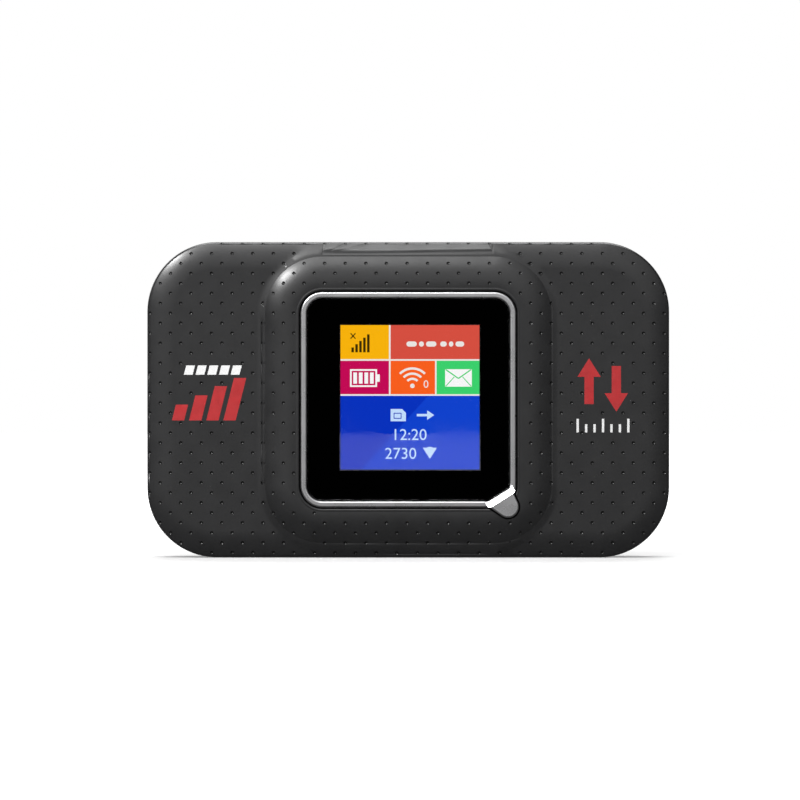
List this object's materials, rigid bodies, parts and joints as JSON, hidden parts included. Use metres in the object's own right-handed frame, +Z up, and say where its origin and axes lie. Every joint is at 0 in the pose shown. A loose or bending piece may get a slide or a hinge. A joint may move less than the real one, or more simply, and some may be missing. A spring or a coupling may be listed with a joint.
{
  "type": "mobile hotspot",
  "caption": "Pocket wireless hotspot: rounded dimpled casing, raised square colour display in a silver surround with a small tail, top keys, side port, pull-off rear cover and battery.",
  "frame": {"origin": "centre of the footprint of the device standing on its long lower edge, on the surface it stands on", "axes": "+X to the right of the display side, -Y out of the display, +Y out of the rear cover, +Z up"},
  "size_m": [0.096, 0.015, 0.058],
  "materials": {
    "casing": "satin moulded charcoal with a dimpled skin",
    "casing_band": "satin moulded charcoal",
    "key_plastic": "satin moulded charcoal",
    "satin_silver": "satin plated",
    "lens": "clear, polished",
    "black_ink": "printed behind the lens",
    "tape": "double-sided tape",
    "foam": "closed-cell foam",
    "steel": "pressed sheet",
    "tin": "tin-plated sheet",
    "screw_steel": "plated",
    "gold": "gold-plated",
    "antenna_metal": "plated copper",
    "board": "solder mask on glass fibre",
    "chip_black": "moulded",
    "socket_plastic": "moulded",
    "switch_body": "moulded with a metal lid",
    "plunger": "moulded",
    "flex_film": "polyimide ribbon",
    "diffuser": "milky",
    "battery_wrap": "shrink wrap",
    "battery_cap": "moulded",
    "label_white": "coated",
    "label_grey": "coated",
    "screen": "lit colour display"
  },
  "bodies": {
    "root": {"front_housing": "casing", "mid_frame": "casing_band", "bezel_ring": "satin_silver", "display_lens": "lens", "lens_border_film": "black_ink", "lens_adhesive": "tape", "lcd_gasket": "foam", "lcd_frame": "steel", "lcd_glass": "screen", "lcd_backlight": "diffuser", "lcd_flex": "flex_film", "lcd_connector": "socket_plastic", "main_board": "board", "board_parts": "chip_black", "board_screws": "screw_steel", "housing_screws": "screw_steel", "baseband_shield": "tin", "rf_shield": "tin", "wifi_shield": "tin", "baseband_chip": "chip_black", "memory_chip": "chip_black", "radio_chip": "chip_black", "amplifier_chip": "chip_black", "wifi_chip": "chip_black", "charger_chip": "chip_black", "sim_socket_shell": "steel", "sim_socket_base": "socket_plastic", "sim_contacts": "gold", "microsd_socket_shell": "steel", "microsd_contacts": "socket_plastic", "usb_shell": "steel", "usb_tongue": "socket_plastic", "usb_contacts": "gold", "battery_contact_block": "socket_plastic", "battery_springs": "gold", "power_switch": "switch_body", "pairing_switch": "switch_body", "reset_switch": "switch_body", "main_antenna": "antenna_metal", "wifi_antenna": "antenna_metal", "diversity_antenna": "antenna_metal", "antenna_clips": "gold", "info_label": "label_white"},
    "power_button": {"power_key": "key_plastic", "power_switch_plunger": "plunger"},
    "pairing_button": {"pairing_key": "key_plastic", "pairing_switch_plunger": "plunger"},
    "reset_button": {"reset_plunger": "plunger"},
    "rear_cover": {"rear_cover": "casing", "cover_foam_pad": "foam"},
    "battery": {"battery_cell": "battery_wrap", "battery_end_cap": "battery_cap", "battery_pads": "gold", "battery_label": "label_grey"}
  },
  "joints": [
    {"name": "power_press", "type": "slide", "parent": "root", "child": "power_button", "axis": [0, 0, -1], "range_m": [0, 0.0004], "stiffness_N_per_m": 4000},
    {"name": "pairing_press", "type": "slide", "parent": "root", "child": "pairing_button", "axis": [0, 0, -1], "range_m": [0, 0.0004], "stiffness_N_per_m": 4000},
    {"name": "reset_press", "type": "slide", "parent": "root", "child": "reset_button", "axis": [0, -1, 0], "range_m": [0, 0.0003], "stiffness_N_per_m": 4000},
    {"name": "cover_release", "type": "slide", "parent": "root", "child": "rear_cover", "axis": [0, 1, 0], "range_m": [0, 0.02]},
    {"name": "battery_release", "type": "slide", "parent": "root", "child": "battery", "axis": [0, 1, 0], "range_m": [0, 0.01]}
  ],
  "couplings": [
    {"joint": "battery_release", "follows": "cover_release", "ratio": 0.5}
  ]
}
